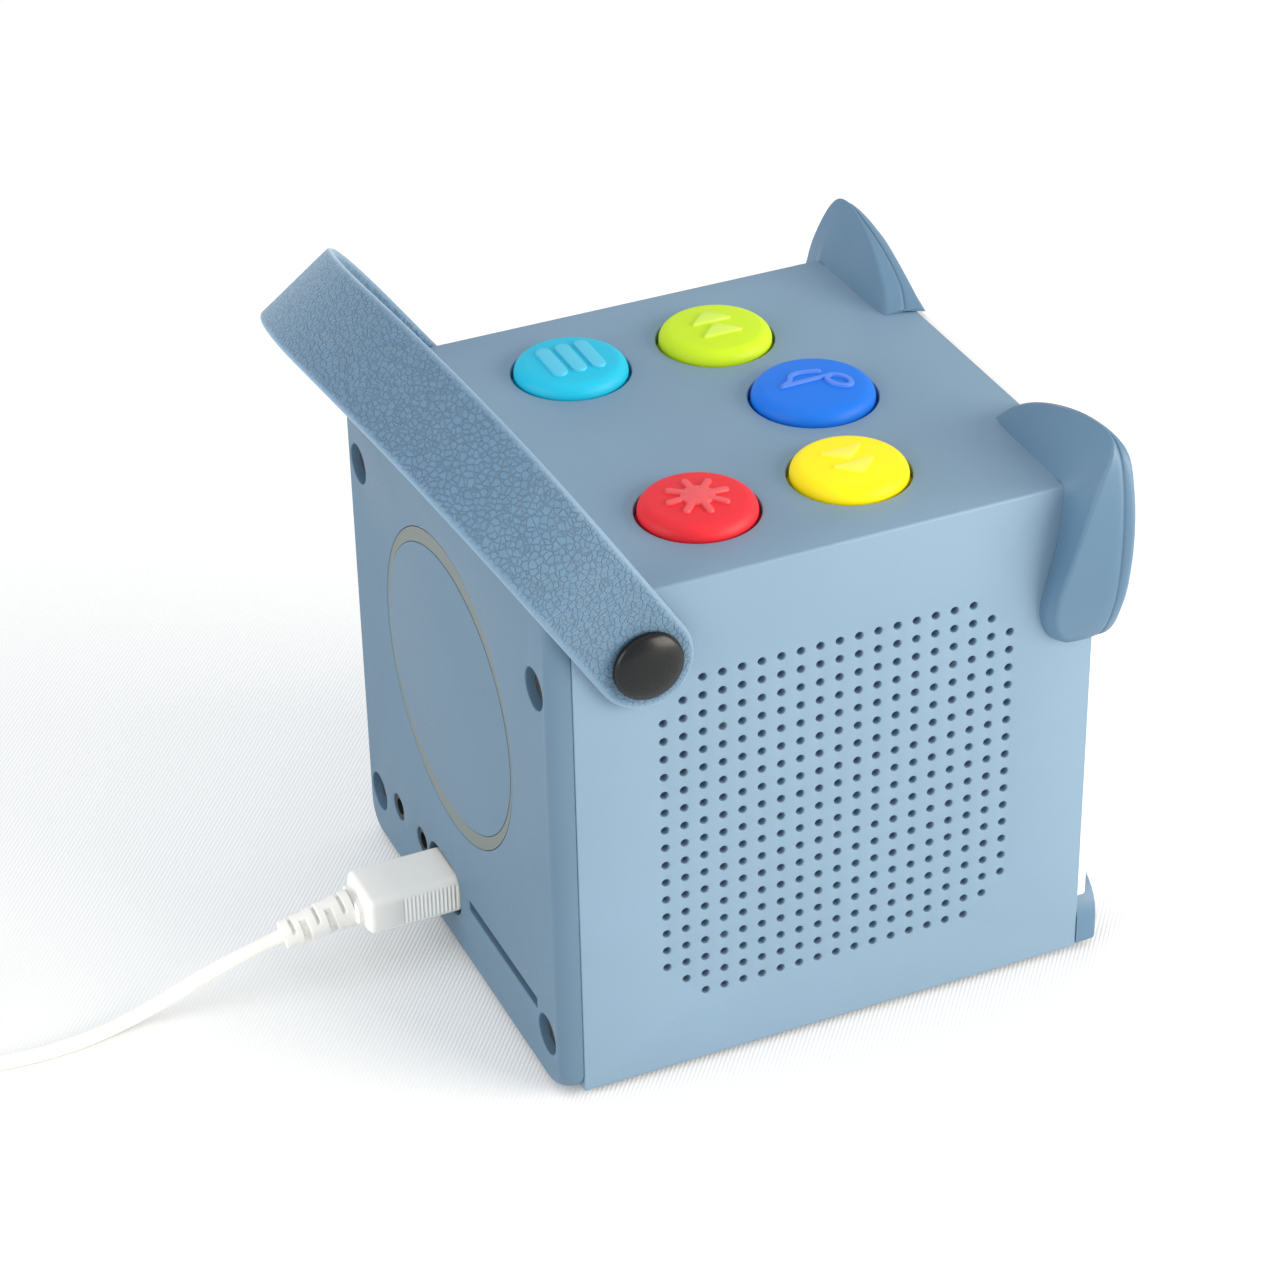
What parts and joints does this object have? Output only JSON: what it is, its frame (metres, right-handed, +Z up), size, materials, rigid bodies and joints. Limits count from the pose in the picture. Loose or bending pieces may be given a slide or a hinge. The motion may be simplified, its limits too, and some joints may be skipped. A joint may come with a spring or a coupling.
{
  "type": "audio story player",
  "caption": "Cube-shaped children's audio player with a perforated speaker wall, five coloured push buttons on top, cat-ear corners, a pivoting carrying strap and a charging cable",
  "frame": {"origin": "Middle of the footprint on the surface that the player stands on.", "axes": "+Z up, -Y out of the front panel, +Y out of the rear cover, -X out of the speaker wall."},
  "size_m": [0.1575, 0.2766, 0.1566],
  "materials": {
    "shell_blue": "matt moulded ABS",
    "diffuser_white": "matt translucent diffuser",
    "ear_blue": "matt moulded ABS",
    "paw_blue": "matt moulded ABS",
    "ring_grey": "matt printed ring",
    "steel": "plain steel",
    "rubber_grey": "matt soft rubber",
    "cap_sky": "satin button",
    "cap_red": "satin button",
    "cap_lime": "satin button",
    "cap_yellow": "satin button",
    "cap_blue": "satin button",
    "dome_clear": "silicone",
    "board_green": "solder mask",
    "strap_blue": "crackled artificial leather",
    "pin_black": "satin black",
    "foam_black": "foam",
    "cone_black": "paper cone",
    "magnet_grey": "coated ferrite",
    "copper": "enamelled copper wire",
    "led_white": "LED package",
    "chip_black": "moulded black",
    "capacitor_grey": "aluminium can",
    "battery_blue": "shrink sleeve",
    "plug_white": "satin overmould",
    "relief_white": "satin overmould",
    "cable_white": "satin cable sheath"
  },
  "bodies": {
    "housing": {"main_shell": "shell_blue", "front_panel": "diffuser_white", "left_ear": "ear_blue", "right_ear": "ear_blue", "left_paw": "paw_blue", "right_paw": "paw_blue", "rear_cover": "shell_blue", "rear_ring": "ring_grey", "rear_disc": "shell_blue", "rear_cover_screws": "steel", "rubber_base_pad": "rubber_grey", "button_board": "board_green", "button_board_screws": "steel", "left_handle_pin": "pin_black", "right_handle_pin": "pin_black", "pin_clips": "steel", "speaker_gasket": "foam_black", "speaker_basket": "steel", "speaker_cone": "cone_black", "speaker_dust_cap": "cone_black", "speaker_magnet": "magnet_grey", "speaker_voice_coil": "copper", "speaker_screws": "steel", "light_board": "board_green", "night_light_leds": "led_white", "main_board": "board_green", "main_board_screws": "steel", "processor_chip": "chip_black", "amplifier_chip": "chip_black", "capacitors": "capacitor_grey", "card_socket": "steel", "headphone_jack_one": "chip_black", "headphone_jack_two": "chip_black", "usb_socket": "steel", "battery_pad": "foam_black", "battery_holder": "chip_black", "battery_cell": "battery_blue", "battery_contacts": "steel", "plug_grip": "plug_white", "plug_tongue": "steel", "strain_relief": "relief_white", "usb_cable": "cable_white", "cable_coil": "cable_white", "usb_cable_tail": "cable_white", "usb_a_grip": "plug_white", "usb_a_shell": "steel", "list_button_dome": "dome_clear", "light_button_dome": "dome_clear", "next_button_dome": "dome_clear", "previous_button_dome": "dome_clear", "music_button_dome": "dome_clear"},
    "list_key": {"list_button": "cap_sky"},
    "light_key": {"light_button": "cap_red"},
    "next_key": {"next_button": "cap_lime"},
    "previous_key": {"previous_button": "cap_yellow"},
    "music_key": {"music_button": "cap_blue"},
    "strap": {"handle_strap": "strap_blue"}
  },
  "joints": [
    {"name": "list_press", "type": "slide", "parent": "housing", "child": "list_key", "axis": [0, 0, -1], "range_m": [0, 0.0012], "stiffness_N_per_m": 900, "deforming": ["list_button_dome"]},
    {"name": "light_press", "type": "slide", "parent": "housing", "child": "light_key", "axis": [0, 0, -1], "range_m": [0, 0.0012], "stiffness_N_per_m": 900, "deforming": ["light_button_dome"]},
    {"name": "next_press", "type": "slide", "parent": "housing", "child": "next_key", "axis": [0, 0, -1], "range_m": [0, 0.0012], "stiffness_N_per_m": 900, "deforming": ["next_button_dome"]},
    {"name": "previous_press", "type": "slide", "parent": "housing", "child": "previous_key", "axis": [0, 0, -1], "range_m": [0, 0.0012], "stiffness_N_per_m": 900, "deforming": ["previous_button_dome"]},
    {"name": "music_press", "type": "slide", "parent": "housing", "child": "music_key", "axis": [0, 0, -1], "range_m": [0, 0.0012], "stiffness_N_per_m": 900, "deforming": ["music_button_dome"]},
    {"name": "strap_swing", "type": "hinge", "parent": "housing", "child": "strap", "pos_m": [0, 0.0383, 0.0985], "axis": [1, 0, 0], "range_deg": [-76, 72]}
  ]
}
